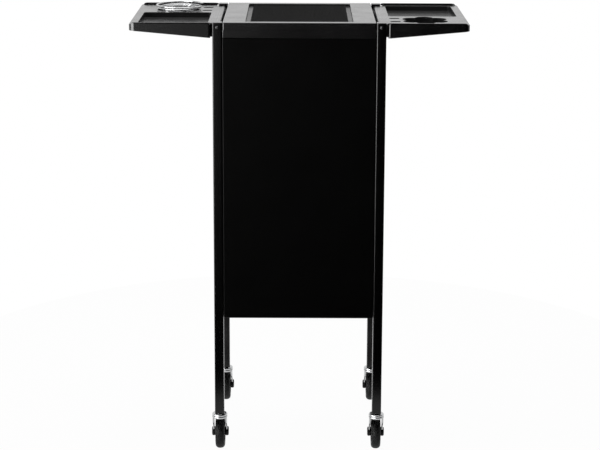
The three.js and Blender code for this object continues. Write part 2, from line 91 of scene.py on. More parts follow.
# %% Camera
PITCH, ROLL = math.radians(13.681), math.radians(0.2095)
EYE = Vector((0.002774, -4.01054, 1.44004))
forward = Vector((0, math.cos(PITCH), -math.sin(PITCH)))
right = Vector((1, 0, 0))
up = right.cross(forward)
leaned_right = right * math.cos(ROLL) + up * math.sin(ROLL)
leaned_up = up * math.cos(ROLL) - right * math.sin(ROLL)
camera_data = bpy.data.cameras.new("studio_camera")
camera_data.lens = 111.4
camera_data.sensor_width = 36
camera_data.clip_end = 100
camera = bpy.data.objects.new("studio_camera", camera_data)
axes = Matrix((leaned_right, leaned_up, -forward)).transposed().to_4x4()
camera.matrix_world = Matrix.Translation(EYE) @ axes
bpy.context.scene.collection.objects.link(camera)
bpy.context.scene.camera = camera
print("camera at", [round(v, 3) for v in camera.location], "lens", camera_data.lens)

# %% [markdown]
# Materials are written as sums. A socket is wrapped in a small class, so that
# adding or multiplying two of them adds the Math node that does it. The
# reflected forms make 1 - mask work as well as mask - 1.

# %% Sockets that can be added and multiplied


class Signal:
    """A number that varies over a surface, as the output of a shader node."""

    def __init__(self, finish, socket):
        self.finish, self.socket = finish, socket

    def maths(self, operation, first, second):
        inputs = {0: first, 1: second}
        return self.finish.node("ShaderNodeMath", {"operation": operation}, inputs)

    def __add__(self, other):
        return self.maths("ADD", self, other)

    __radd__ = __add__

    def __sub__(self, other):
        return self.maths("SUBTRACT", self, other)

    def __rsub__(self, other):
        return self.maths("SUBTRACT", other, self)

    def __mul__(self, other):
        return self.maths("MULTIPLY", self, other)

    __rmul__ = __mul__

    def most(self, other):
        return self.maths("MAXIMUM", self, other)


print("signals can be added, taken away and multiplied")

# %% [markdown]
# A finish is the node tree of a material or of the world. One method makes
# every node that isn't a sum: its settings first, then what its sockets get.
# Noise is placed on the piece in real millimetres, so that a grain has the
# same size on a pin and on a sheet.

# %% A finish, node by node


class Finish:
    """A material, or the world, whose nodes are made one by one."""

    def __init__(self, owner):
        self.owner = owner
        owner.use_nodes = True
        self.tree = owner.node_tree
        self.tree.nodes.clear()

    def node(self, kind, settings=None, inputs=None, output=0):
        made = self.tree.nodes.new(kind)
        for name, value in (settings or {}).items():
            setattr(made, name, value)
        for key, value in (inputs or {}).items():
            if isinstance(value, Signal):
                self.tree.links.new(value.socket, made.inputs[key])
            else:
                made.inputs[key].default_value = value
        return Signal(self, made.outputs[output]) if made.outputs else None

    def place(self):
        """Position on the piece in metres."""
        return self.node("ShaderNodeTexCoord", output="Object")

    def noise(self, millimetres, detail):
        """Cloudy noise whose grains are about this big."""
        grains = [1000 / millimetres] * 3
        spot = self.node("ShaderNodeMapping", {}, {"Vector": self.place(), "Scale": grains})
        inputs = {"Vector": spot, "Scale": 1.0, "Detail": detail}
        return self.node("ShaderNodeTexNoise", {}, inputs)

    def between(self, signal, low, high, to_low=0.0, to_high=1.0):
        """Stretches low to high over another range, and holds it at the ends."""
        inputs = {"Value": signal, 1: low, 2: high, 3: to_low, 4: to_high}
        return self.node("ShaderNodeMapRange", {"clamp": True}, inputs)

    def shades(self, signal, dark, light):
        """A colour between two shades, by a signal from 0 to 1."""
        inputs = {0: signal, 6: (*dark, 1), 7: (*light, 1)}
        return self.node("ShaderNodeMix", {"data_type": "RGBA"}, inputs, output=2)

    def bump(self, height, millimetres):
        """Relief whose height signal runs from 0 to 1."""
        inputs = {"Height": height, "Distance": millimetres / 1000, "Strength": 1.0}
        return self.node("ShaderNodeBump", {}, inputs)

    def surface(self, inputs):
        """Ends the material with the one shader that all solid finishes use."""
        shader = self.node("ShaderNodeBsdfPrincipled", {}, inputs)
        self.node("ShaderNodeOutputMaterial", {}, {"Surface": shader})
        return self.owner


def grey(level):
    """A neutral colour from its level on a 0 to 255 screen scale."""
    share = level / 255
    linear = share / 12.92 if share < 0.04045 else ((share + 0.055) / 1.055) ** 2.4
    return (linear, linear, linear)


print("grey 20 is", round(grey(20)[0], 5), "in linear light")

# %% [markdown]
# The legs and sheets are steel with a baked black powder coat. Powder melts
# into a skin that is never quite flat: makers call the ripple orange peel. It
# is a few millimetres long and a few hundredths deep, which breaks up long
# reflections without looking rough. A second, slow noise varies the gloss.
# The tubes come glossier from the oven than the wide sheets, which are satin,
# so one function makes both coats.

# %% Powder coat


def powder_coat(name, shine, smooth, coarse):
    """A baked coat: its shine, and its least and greatest roughness."""
    finish = Finish(bpy.data.materials.new(name))
    cloud = finish.noise(60, 3)
    peel = finish.noise(2.6, 1)
    grain = finish.noise(0.5, 1)
    relief = finish.bump(peel * 0.8 + grain * 0.2, 0.03)
    return finish.surface({
        "Base Color": finish.shades(cloud, grey(1), grey(4)),
        "Specular IOR Level": shine,
        "Roughness": finish.between(cloud, 0.3, 0.7, smooth, coarse),
        "Normal": relief,
    })


coat = powder_coat("black_powder_coat", 0.32, 0.16, 0.18)
sheet_coat = powder_coat("black_sheet_coat", 0.1, 0.25, 0.27)
print("made", coat.name, "and", sheet_coat.name)

# %% [markdown]
# Top, trays and drawers are moulded in black plastic. The outside of the tool
# is polished, so the skin is glossy with a faint swirl. The floors of the
# recesses are eroded by sparks, which leaves a fine, even grain that hides
# scratches. They are two finishes on one moulding.

# %% Moulded plastic, polished and grained


def polished_plastic():
    finish = Finish(bpy.data.materials.new("polished_black_plastic"))
    cloud = finish.noise(45, 3)
    swirl = finish.noise(9, 2)
    dust = finish.noise(0.7, 2)
    specks = finish.between(dust, 0.62, 0.8)
    return finish.surface({
        "Base Color": finish.shades(specks, grey(12), grey(22)),
        "Roughness": finish.between(cloud, 0.3, 0.7, 0.17, 0.22),
        "Normal": finish.bump(swirl, 0.012),
    })


def grained_plastic():
    finish = Finish(bpy.data.materials.new("grained_black_plastic"))
    sparks = finish.noise(0.9, 3)
    cloud = finish.noise(30, 2)
    return finish.surface({
        "Base Color": finish.shades(cloud, grey(42), grey(54)),
        "Specular IOR Level": 0.03,
        "Roughness": finish.between(cloud, 0.3, 0.7, 0.22, 0.26),
        "Normal": finish.bump(sparks, 0.015),
    })


polished = polished_plastic()
grained = grained_plastic()
print("made", polished.name, "and", grained.name)

# %% [markdown]
# The mat is soft black rubber. Its ribs are modelled, so the material only
# adds the fine crumb of the surface. The tyres are a harder, smoother rubber.

# %% Rubber for the mat and the tyres


def soft_rubber():
    finish = Finish(bpy.data.materials.new("soft_mat_rubber"))
    cloud = finish.noise(25, 3)
    crumbs = finish.noise(0.6, 2)
    return finish.surface({
        "Base Color": finish.shades(cloud, grey(8), grey(15)),
        "Specular IOR Level": 0.03,
        "Roughness": finish.between(crumbs, 0.3, 0.7, 0.75, 0.9),
        "Normal": finish.bump(crumbs, 0.05),
    })


def tyre_rubber():
    finish = Finish(bpy.data.materials.new("tyre_rubber"))
    cloud = finish.noise(8, 3)
    crumbs = finish.noise(0.5, 2)
    return finish.surface({
        "Base Color": finish.shades(cloud, grey(6), grey(16)),
        "Specular IOR Level": 0.2,
        "Roughness": finish.between(cloud, 0.3, 0.7, 0.5, 0.65),
        "Normal": finish.bump(crumbs, 0.05),
    })


mat_rubber = soft_rubber()
tread = tyre_rubber()
print("made", mat_rubber.name, "and", tread.name)

# %% [markdown]
# Two metals are left. The forks and the spiral are chromed: nearly a mirror,
# with a little haze where fingers and polish have been. Pins, stems and axles
# are only zinc plated, which is greyer, duller and slightly mottled.

# %% Chrome and zinc


def chrome_plate():
    finish = Finish(bpy.data.materials.new("chrome_plate"))
    haze = finish.noise(7, 3)
    return finish.surface({
        "Base Color": finish.shades(haze, (0.42, 0.425, 0.43), (0.6, 0.605, 0.61)),
        "Metallic": 1.0,
        "Roughness": finish.between(haze, 0.3, 0.75, 0.1, 0.2),
        "Normal": finish.bump(finish.noise(3, 1), 0.015),
    })


def zinc_plate():
    finish = Finish(bpy.data.materials.new("zinc_plate"))
    mottle = finish.noise(2.2, 3)
    return finish.surface({
        "Base Color": finish.shades(mottle, (0.06, 0.06, 0.062), (0.12, 0.12, 0.122)),
        "Metallic": 1.0,
        "Roughness": finish.between(mottle, 0.3, 0.7, 0.36, 0.5),
        "Normal": finish.bump(mottle, 0.02),
    })


chrome = chrome_plate()
zinc = zinc_plate()
print("made", chrome.name, "and", zinc.name)

# %% [markdown]
# Every piece ends in the same way: its faces are turned outwards, it is taken
# to the frame's metres, and flat faces keep flat light while the roundings
# between them shade smoothly. That last part is what the Weighted Normal
# modifier is for. The piece then rides on its body and stands for its nodes.

# %% Finish a piece
SHARP = math.radians(42)


def finish_piece(bm, name, body, slot, materials, *nodes, turn=True):
    """Makes an object of a bmesh in millimetres, and hands it to the frame."""
    bmesh.ops.remove_doubles(bm, verts=bm.verts, dist=0.001)
    if turn:
        bmesh.ops.recalc_face_normals(bm, faces=bm.faces)
    bmesh.ops.transform(bm, matrix=TO_FRAME, verts=bm.verts)
    for face in bm.faces:
        face.smooth = True
    mesh = bpy.data.meshes.new(name)
    bm.to_mesh(mesh)
    bm.free()
    mesh.set_sharp_from_angle(angle=SHARP)
    for material in materials:
        mesh.materials.append(material)
    piece = bpy.data.objects.new(name, mesh)
    bpy.context.scene.collection.objects.link(piece)
    weighted = piece.modifiers.new("weighted_normals", "WEIGHTED_NORMAL")
    weighted.keep_sharp = True
    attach(piece, body)
    if nodes:
        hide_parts(*nodes)
    print(name, len(mesh.polygons), "faces on", body)


def join(*parts):
    """One bmesh from several. The parts are used up."""
    whole = bmesh.new()
    for part in parts:
        mesh = bpy.data.meshes.new("part")
        part.to_mesh(mesh)
        part.free()
        whole.from_mesh(mesh)
        bpy.data.meshes.remove(mesh)
    return whole


print("edges sharper than", round(math.degrees(SHARP)), "degrees stay sharp")

# %% [markdown]
# Most pieces begin as a block whose edges are then rounded. A real edge is
# never sharp, and the thin bright line that a rounded edge catches is what
# makes black things readable.

# %% Blocks and roundings
TURN = math.radians(35)


def block(x0, x1, y0, y1, z0, z1):
    """A plain box between two corners."""
    bm = bmesh.new()
    bmesh.ops.create_cube(bm, size=1)
    bmesh.ops.scale(bm, vec=(x1 - x0, y1 - y0, z1 - z0), verts=bm.verts)
    centre = ((x0 + x1) / 2, (y0 + y1) / 2, (z0 + z1) / 2)
    bmesh.ops.translate(bm, vec=centre, verts=bm.verts)
    return bm


def round_edges(bm, radius, steps, wanted=None):
    """Rounds the edges that are wanted, or all that turn by more than TURN."""
    edges = [
        edge for edge in bm.edges
        if edge.is_manifold
        and edge.calc_face_angle() > TURN
        and (wanted is None or wanted(edge))
    ]
    bmesh.ops.bevel(
        bm, geom=edges, offset=radius, offset_type="OFFSET", segments=steps,
        profile=0.5, affect="EDGES", clamp_overlap=True, material=-1,
    )
    return bm


def upright(edge):
    a, b = edge.verts
    return abs(a.co.z - b.co.z) > 0.9 * edge.calc_length()


def soft_block(x0, x1, y0, y1, z0, z1, radius, steps=3):
    return round_edges(block(x0, x1, y0, y1, z0, z1), radius, steps)


print("edges that turn by more than", round(math.degrees(TURN)), "degrees are rounded")

# %% [markdown]
# Pins, stems and wheels are turned: half an outline is spun about Z, and the
# part is then laid along the axis that it is for. Parts are moved into place
# with two more helpers, and plates are cut to an outline and pulled to their
# thickness.

# %% Turned parts, plates and moves


def turned(profile, sides, axis="Z"):
    """A turned part from its outline: radius and height pairs, from end to end."""
    bm = bmesh.new()
    points = [bm.verts.new((radius, 0, height)) for radius, height in profile]
    line = [bm.edges.new(pair) for pair in zip(points, points[1:])]
    bmesh.ops.spin(
        bm, geom=points + line, cent=(0, 0, 0), axis=(0, 0, 1),
        angle=2 * math.pi, steps=sides, use_merge=True,
    )
    bmesh.ops.remove_doubles(bm, verts=bm.verts, dist=0.0005)
    if axis == "X":
        rotated(bm, math.pi / 2, "Y")
    if axis == "Y":
        rotated(bm, -math.pi / 2, "X")
    return bm


def rotated(bm, angle, axis):
    matrix = Matrix.Rotation(angle, 3, axis)
    bmesh.ops.rotate(bm, cent=(0, 0, 0), matrix=matrix, verts=bm.verts)
    return bm


def shifted(bm, x=0.0, y=0.0, z=0.0):
    bmesh.ops.translate(bm, vec=(x, y, z), verts=bm.verts)
    return bm


def half_turn(bm):
    """The same part on the other side, turned round rather than mirrored."""
    return rotated(bm, math.pi, "Z")


def cut_plate(outline, pull):
    """A plate cut to an outline of points and pulled to its thickness."""
    bm = bmesh.new()
    face = bm.faces.new([bm.verts.new(spot) for spot in outline])
    made = bmesh.ops.extrude_face_region(bm, geom=[face])
    moved = [g for g in made["geom"] if isinstance(g, bmesh.types.BMVert)]
    bmesh.ops.translate(bm, vec=pull, verts=moved)
    bmesh.ops.recalc_face_normals(bm, faces=bm.faces)
    return bm


def quarter(radius, steps, start_r, start_z, turn_r, turn_z):
    """Radius and height pairs of a quarter round that leaves a start point."""
    points = []
    for i in range(steps + 1):
        angle = i / steps * math.pi / 2
        points.append((
            start_r + turn_r * radius * math.sin(angle),
            start_z + turn_z * radius * (1 - math.cos(angle)),
        ))
    return points


print("a round pin of 20 sides has", len(turned([(1, 0), (1, 9)], 20).faces), "faces")

# %% [markdown]
# Sheets and mouldings are drawn as open skins and then given a wall. The
# Solidify modifier does that on a passing object, because it also closes the
# rims. The skin has to face outwards first.

# %% Skins and walls
WALL = {"sheet": 1.2, "leg": 1.5, "tray": 2.4, "deck": 2.6}


def thicken(bm, wall):
    """Gives an open skin a wall on its inner side, and closes its edges."""
    bmesh.ops.remove_doubles(bm, verts=bm.verts, dist=0.001)
    mesh = bpy.data.meshes.new("skin")
    bm.to_mesh(mesh)
    bm.free()
    skin = bpy.data.objects.new("skin", mesh)
    bpy.context.scene.collection.objects.link(skin)
    solid = skin.modifiers.new("wall", "SOLIDIFY")
    solid.thickness, solid.offset, solid.use_even_offset = wall, -1, False
    solid.use_quality_normals = True
    walled = skin.evaluated_get(bpy.context.evaluated_depsgraph_get()).to_mesh()
    made = bmesh.new()
    made.from_mesh(walled)
    bpy.data.objects.remove(skin)
    bpy.data.meshes.remove(mesh)
    return made


def face_up(bm):
    """Turns an open skin so that its largest level face looks up."""
    bmesh.ops.remove_doubles(bm, verts=bm.verts, dist=0.001)
    bmesh.ops.recalc_face_normals(bm, faces=bm.faces)
    level = [f for f in bm.faces if abs(f.normal.z) > 0.99]
    if max(level, key=lambda f: f.calc_area()).normal.z < 0:
        bmesh.ops.reverse_faces(bm, faces=bm.faces)


print("walls, mm", WALL)

# %% [markdown]
# A leg is a square steel tube whose corners have a radius of 2.2 mm. Outside
# and inside are blocks with their upright edges rounded, and the end rings
# close the wall between them, so that the tube can be looked into from below.

# %% Legs
LEG_CORNER = 2.2


def tube(x, y, z0, z1, size, wall, corner):
    """An open square tube with rolled corners."""
    shells = []
    for half, radius in ((size / 2, corner), (size / 2 - wall, corner - wall + 0.4)):
        shell = block(x - half, x + half, y - half, y + half, z0, z1)
        round_edges(shell, radius, 4, upright)
        ends = [f for f in shell.faces if abs(f.normal.z) > 0.9]
        bmesh.ops.delete(shell, geom=ends, context="FACES_ONLY")
        shells.append(shell)
    bmesh.ops.reverse_faces(shells[1], faces=shells[1].faces)
    bm = join(*shells)
    for height in (z0, z1):
        rim = [
            e for e in bm.edges
            if e.is_boundary and all(abs(v.co.z - height) < 0.01 for v in e.verts)
        ]
        bmesh.ops.bridge_loops(bm, edges=rim)
    return bm


post = span("post_front_right")
LEG = SimpleNamespace(
    x=(post.x0 + post.x1) / 2, y=-(post.y0 + post.y1) / 2,
    z0=post.z0, z1=post.z1, size=post.x1 - post.x0,
)
for corner, (sx, sy) in CORNERS.items():
    leg = tube(sx * LEG.x, sy * LEG.y, LEG.z0, LEG.z1, LEG.size, WALL["leg"], LEG_CORNER)
    finish_piece(leg, "leg_" + corner, "frame", "black_steel", [coat], "post_" + corner)

# %% [markdown]
# A plug closes each leg. Its lid has a softly domed edge, and a stub, which
# hardly shows, grips the inside of the tube.

# %% Leg plugs
STUB_IN = 1.8

for corner in CORNERS:
    cap = span("post_cap_" + corner)
    lid = block(cap.x0, cap.x1, cap.y0, cap.y1, cap.z1 - 2.7, cap.z1)
    round_edges(lid, LEG_CORNER, 4, upright)
    round_edges(lid, 0.9, 3, lambda e: all(v.co.z > cap.z1 - 0.1 for v in e.verts))
    stub = soft_block(
        cap.x0 + STUB_IN, cap.x1 - STUB_IN, cap.y0 + STUB_IN, cap.y1 - STUB_IN,
        cap.z0, cap.z1 - 2, 0.5, 2,
    )
    finish_piece(
        join(lid, stub), "leg_plug_" + corner, "frame", "black_plastic",
        [polished], "post_cap_" + corner,
    )

# %% [markdown]
# The closed side is one sheet with all four edges folded back, and so are the
# two side sheets and the pan below. A fold in sheet metal has a bend radius of
# a little more than its thickness, so a sheet is drawn as a block without one
# side, its edges are rounded, and the skin is given its wall: that makes the
# rounded uprights that catch the light.

# %% Sheet panels
BEND = 1.6
SIDE_FOLD = 8


def folded_sheet(x0, x1, y0, y1, z0, z1, axis, sign):
    """A sheet with its edges folded back, open along one axis, to one side."""
    bm = block(x0, x1, y0, y1, z0, z1)
    open_faces = [f for f in bm.faces if f.normal["xyz".index(axis)] * sign > 0.9]
    bmesh.ops.delete(bm, geom=open_faces, context="FACES_ONLY")
    round_edges(bm, BEND, 4)
    bmesh.ops.recalc_face_normals(bm, faces=bm.faces)
    centre = Vector(((x0 + x1) / 2, (y0 + y1) / 2, (z0 + z1) / 2))
    outward = sum(f.normal.dot(f.calc_center_median() - centre) for f in bm.faces)
    if outward < 0:
        bmesh.ops.reverse_faces(bm, faces=bm.faces)
    return thicken(bm, WALL["sheet"])


front = span("closed_panel")
finish_piece(
    folded_sheet(*vars(front).values(), "y", 1), "closed_side_sheet", "frame",
    "black_steel", [sheet_coat], "closed_panel",
)
for side, sign in (("left", -1), ("right", 1)):
    flat = span("side_panel_" + side)
    if sign > 0:
        flat.x0 = flat.x1 - SIDE_FOLD
    else:
        flat.x1 = flat.x0 + SIDE_FOLD
    finish_piece(
        folded_sheet(*vars(flat).values(), "x", -sign), "side_sheet_" + side, "frame",
        "black_steel", [sheet_coat], "side_panel_" + side,
    )
finish_piece(
    folded_sheet(*vars(span("bottom_pan")).values(), "z", 1), "cabinet_floor", "frame",
    "black_steel", [coat], "bottom_pan",
)

# %% [markdown]
# The mouldings are built from rounded rectangles. A face is pulled up to make
# a wall, or drawn in by an inset to make a ring, a little at a time, and those
# small steps make the roundings between a wall and a flat.

# %% Rings of a moulding


def plate(x0, x1, y0, y1, z, radii, steps=5):
    """A flat face with a radius for each corner, from (x0, y0) round by (x1, y0)."""
    bm = bmesh.new()
    spots = [(x0, y0), (x1, y0), (x1, y1), (x0, y1)]
    points = [bm.verts.new((x, y, z)) for x, y in spots]
    bm.faces.new(points)
    for (x, y), radius in zip(spots, radii):
        if radius > 0:
            near = [v for v in bm.verts if (v.co - Vector((x, y, z))).length < 0.001]
            bmesh.ops.bevel(
                bm, geom=near, offset=radius, offset_type="OFFSET", segments=steps,
                profile=0.5, affect="VERTICES", clamp_overlap=False, material=-1,
            )
    bm.normal_update()
    if bm.faces[:][0].normal.z < 0:
        bmesh.ops.reverse_faces(bm, faces=bm.faces)
    return bm


def rise(bm, face, height):
    """Pulls a face along Z, leaving walls behind it. Returns the face."""
    made = bmesh.ops.extrude_face_region(bm, geom=[face])
    points = [g for g in made["geom"] if isinstance(g, bmesh.types.BMVert)]
    bmesh.ops.translate(bm, vec=(0, 0, height), verts=points)
    return next(g for g in made["geom"] if isinstance(g, bmesh.types.BMFace))


def draw_in(bm, face, inwards, height):
    """Draws a face in by an even margin and moves it along Z."""
    bmesh.ops.inset_region(
        bm, faces=[face], thickness=inwards, depth=0,
        use_even_offset=True, use_boundary=True,
    )
    bmesh.ops.translate(bm, vec=(0, 0, height), verts=face.verts)


def round_over(bm, face, radius, steps, start_upright, sign=1):
    """Rounds between wall and flat in small insets, up (sign 1) or down (-1)."""
    angles = [i / steps * math.pi / 2 for i in range(steps + 1)]
    for a, b in zip(angles, angles[1:]):
        if start_upright:
            inwards, height = math.cos(a) - math.cos(b), math.sin(b) - math.sin(a)
        else:
            inwards, height = math.sin(b) - math.sin(a), math.cos(a) - math.cos(b)
        draw_in(bm, face, radius * inwards, sign * radius * height)


print("rings start from a plate of", len(plate(0, 9, 0, 9, 0, (2,) * 4).verts), "corners")

# %% [markdown]
# Two steps come back in the top and in the trays: a wall that stands on
# nothing, because its underside is open, and the level fill that joins the
# open loops of all the rings at one height.

# %% Open walls and level fills


def walls_only(bm, face, height):
    """Pulls a plate's face up and takes the face below away. Returns the face."""
    face = rise(bm, face, height)
    under = [f for f in bm.faces if abs(f.normal.z) > 0.9 and f is not face]
    bmesh.ops.delete(bm, geom=under, context="FACES_ONLY")
    return face


def fill_level(bm, height):
    """Fills between all the open loops that lie at one height."""
    level = [
        e for e in bm.edges
        if e.is_boundary and all(abs(v.co.z - height) < 0.01 for v in e.verts)
    ]
    bmesh.ops.triangle_fill(bm, use_beauty=True, use_dissolve=False, edges=level)


print("open walls and level fills are ready for the top and the trays")

# %% [markdown]
# The top is one moulding: a frame-shaped deck with a shallow recess for the
# mat, a skirt all round and a deeper apron over the closed side. Skirt and
# recess are two sets of rings, and one fill at deck height joins them. Ribs
# stiffen it from below, as they do in the real moulding.

# %% Top moulding
DECK = SimpleNamespace(skirt=16, edge=1.6, apron=3.5, rib_pitch=45)
RECESS = SimpleNamespace(x=113.0, y=deck.y1 - 18.0, depth=5, lip=0.9, cove=0.8)


def top_moulding():
    """The deck with its recess and skirt. The underside is left open."""
    corners = (2.5,) * 4
    bm = plate(deck.x0, deck.x1, deck.y0, deck.y1, deck.z1 - DECK.skirt, corners)
    top = walls_only(bm, bm.faces[:][0], DECK.skirt - DECK.edge)
    round_over(bm, top, DECK.edge, 4, True)
    bmesh.ops.delete(bm, geom=[top], context="FACES_ONLY")
    opening = plate(-RECESS.x, RECESS.x, -RECESS.y, RECESS.y, deck.z1, (5,) * 4, 6)
    hollow = opening.faces[:][0]
    round_over(opening, hollow, RECESS.lip, 3, False, -1)
    hollow.material_index = 1
    draw_in(opening, hollow, 0.25, -(RECESS.depth - RECESS.lip - RECESS.cove))
    round_over(opening, hollow, RECESS.cove, 3, True, -1)
    whole = join(bm, opening)
    fill_level(whole, deck.z1)
    face_up(whole)
    return thicken(whole, WALL["deck"])


apron = soft_block(
    deck.x0, deck.x1, deck.y0, deck.y0 + DECK.apron, deck.z0, deck.z1 - 14.5, 1.1, 3,
)
ribs = [
    soft_block(x - 1, x + 1, deck.y0 + 3, deck.y1 - 3, deck.z1 - 14, deck.z1 - 7, 0.4, 2)
    for x in (i * DECK.rib_pitch for i in range(-3, 4))
]
finish_piece(
    join(top_moulding(), apron, *ribs), "top_moulding", "frame", "black_plastic",
    [polished, grained], "top_deck", turn=False,
)

# %% [markdown]
# The mat is ribbed rubber, with rounded corners and a thin raised hem. The
# ribs run from front to back and keep bottles from sliding. They are modelled
# as slim soft blocks laid on the slab. It lies loose in its recess.

# %% Mat
RIB = SimpleNamespace(pitch=3.0, half=0.8, foot=1.2, low=0.15, round=0.35)
HEM = 4.2

mat = span("top_mat")
lay = plate(mat.x0, mat.x1, mat.y0, mat.y1, mat.z0, (4,) * 4, 5)
face = rise(lay, lay.faces[:][0], mat.z1 - mat.z0 - 0.6)
round_over(lay, face, 0.6, 3, True)
draw_in(lay, face, 2.2, 0)
draw_in(lay, face, 0.5, -0.7)
count = int((mat.x1 - HEM) / RIB.pitch)
bars = [
    soft_block(
        i * RIB.pitch - RIB.half, i * RIB.pitch + RIB.half, mat.y0 + HEM, mat.y1 - HEM,
        mat.z1 - RIB.foot, mat.z1 - RIB.low, RIB.round, 2,
    )
    for i in range(-count, count + 1)
]
finish_piece(join(lay, *bars), "ribbed_mat", "frame", "rubber_mat", [mat_rubber], "top_mat")

# %% [markdown]
# A side tray is the most worked piece. Seen from above it is a rim with a lip
# on its front and rear edges, a recess, and a platform with an opening shaped
# like a rosette, into which tools and the dryer's spiral drop. Its foot
# slopes, deep at the hinge and shallow outside. The rosette is a round core
# with six lobes, drawn a little longer from front to back.

# %% Side tray: sizes and the rosette
plan = span("side_tray_right")
TRAY = SimpleNamespace(
    x0=184.6, x1=plan.x1, y=plan.y1, rim=plan.z1 - 4, lip=4, low_in=plan.z1 - 32,
    low_out=plan.z1 - 17, round_in=3.4, round_out=12,
)
BOWL = SimpleNamespace(x0=189.6, x1=336.5, y0=-29.5, y1=156.5, depth=11, edge=0.8)
SLOT = SimpleNamespace(x0=190, x1=212, half=7.5, depth=5, spots=(-24, 28))
ROSETTE = SimpleNamespace(
    x=264.0, y=-90.5, core=38.0, lobe=19.5, pitch=31.0, stretch=1.12,
)


def rosette_radius(angle):
    """How far the scalloped edge is from its centre."""
    lobe = round((angle - math.pi / 2) / (math.pi / 3)) * math.pi / 3 + math.pi / 2
    across = ROSETTE.pitch * math.sin(angle - lobe)
    reach = ROSETTE.lobe ** 2 - across ** 2
    far = ROSETTE.pitch * math.cos(angle - lobe) + math.sqrt(reach) if reach > 0 else 0
    return max(ROSETTE.core, far)


def to_rosette(points, grow, z):
    """Moves points out to the rosette's edge, each along its own direction."""
    for point in points:
        across = (point.co.y - ROSETTE.y) / ROSETTE.stretch
        angle = math.atan2(across, point.co.x - ROSETTE.x)
        radius = rosette_radius(angle) + grow
        point.co = Vector((
            ROSETTE.x + radius * math.cos(angle),
            ROSETTE.y + radius * math.sin(angle) * ROSETTE.stretch, z,
        ))


print("rosette reaches", rosette_radius(math.pi / 2), "mm along a lobe")

# %% [markdown]
# The lip is full along the front and rear edges and eases off round the outer
# corners. The whole wall is pulled up to lip height first, and the points at
# its outer and inner ends are then lowered by their share.

# %% Side tray: lip and foot


def lip_share(point):
    """1 along the front and rear edges, and 0 at the outer and inner ends."""
    from_edge = TRAY.y - abs(point.y)
    outer = max(0.0, (point.x - (TRAY.x1 - 14)) / 14)
    along = 1 - min(1.0, outer) ** 2
    near = 1.0 if from_edge < 3.0 else 0.0
    return along * near


def underside(x):
    """Height of the tray's sloping foot."""
    share = (TRAY.low_out - TRAY.low_in) * (x - TRAY.x0) / (TRAY.x1 - TRAY.x0)
    return TRAY.low_in + share


def tray_wall():
    """The outer wall, rounded over into the lip and down to the rim."""
    corners = (TRAY.round_in, TRAY.round_out, TRAY.round_out, TRAY.round_in)
    bm = plate(TRAY.x0, TRAY.x1, -TRAY.y, TRAY.y, TRAY.low_in, corners, 6)
    face = walls_only(bm, bm.faces[:][0], TRAY.rim + TRAY.lip - 1.2 - TRAY.low_in)
    round_over(bm, face, 1.2, 4, True)
    draw_in(bm, face, 0.5, 0)
    round_over(bm, face, 0.6, 3, False, -1)
    draw_in(bm, face, 0.1, -3.0)
    round_over(bm, face, 0.4, 2, True, -1)
    for point in bm.verts:
        if point.co.z > TRAY.rim + 0.01:
            lowered = point.co.z - TRAY.lip * (1 - lip_share(point.co))
            inside = min(
                TRAY.y - abs(point.co.y), TRAY.x1 - point.co.x, point.co.x - TRAY.x0,
            )
            point.co.z = max(TRAY.rim, lowered) if inside > 1.3 else lowered
    bmesh.ops.delete(bm, geom=[face], context="FACES_ONLY")
    return bm


print("foot from", round(underside(TRAY.x0), 1), "to", round(underside(TRAY.x1), 1), "mm")

# %% [markdown]
# The recess, two blind slots beside the hinge and the throat of the rosette
# are rings of their own, each starting from an outline at rim height. Their
# walls and floors carry the grained finish. The throat runs right down to the
# sloping foot, so that nothing shows between it and the underside.

# %% Side tray: recess, slots and throat


def tray_recess():
    bowl = plate(BOWL.x0, BOWL.x1, BOWL.y0, BOWL.y1, TRAY.rim, (8,) * 4, 6)
    hollow = bowl.faces[:][0]
    round_over(bowl, hollow, BOWL.edge, 4, False, -1)
    hollow.material_index = 1
    draw_in(bowl, hollow, 0.5, -BOWL.depth + 2 * BOWL.edge)
    round_over(bowl, hollow, BOWL.edge, 3, True, -1)
    return bowl


def tray_slot(y):
    slot = plate(SLOT.x0, SLOT.x1, y - SLOT.half, y + SLOT.half, TRAY.rim, (4,) * 4, 4)
    dip = slot.faces[:][0]
    round_over(slot, dip, 0.5, 2, False, -1)
    dip.material_index = 1
    draw_in(slot, dip, 0.2, -SLOT.depth)
    return slot


def tray_throat():
    throat = bmesh.new()
    spot = Matrix.Translation((ROSETTE.x, ROSETTE.y, TRAY.rim))
    bmesh.ops.create_circle(throat, cap_ends=True, segments=120, radius=40, matrix=spot)
    mouth = throat.faces[:][0]
    to_rosette(mouth.verts, 0.9, TRAY.rim)
    for grow, drop in ((0.35, 0.12), (0.06, 0.45), (0, 0.9), (0, 6.5)):
        draw_in(throat, mouth, 0.1, -0.1)
        to_rosette(mouth.verts, grow, TRAY.rim - drop)
        mouth.material_index = 1
    for point in mouth.verts:
        point.co.z = underside(point.co.x) + 0.6
    bmesh.ops.delete(throat, geom=[mouth], context="FACES_ONLY")
    return throat


print("recess", BOWL.depth, "mm deep, slots", SLOT.depth, "mm deep")

# %% [markdown]
# One fill at rim height joins the rings. The foot is then cut to its slope
# and the skin is given its wall, so the tray is a real moulding, hollow below.
# The knuckle round the pins, the web that joins it to the tray and the stop
# that holds the tray level are parts of the same moulding, with small tabs
# that carry the lips on towards the legs.

# %% Side tray: solid and hinge


def tray_solid():
    """The skin with its foot cut to the slope, given its wall."""
    slots = [tray_slot(ROSETTE.y + spot) for spot in SLOT.spots]
    skin = join(tray_wall(), tray_recess(), tray_throat(), *slots)
    fill_level(skin, TRAY.rim)
    face_up(skin)
    for point in skin.verts:
        if abs(point.co.z - TRAY.low_in) < 0.01:
            point.co.z = underside(point.co.x)
    return thicken(skin, WALL["tray"])


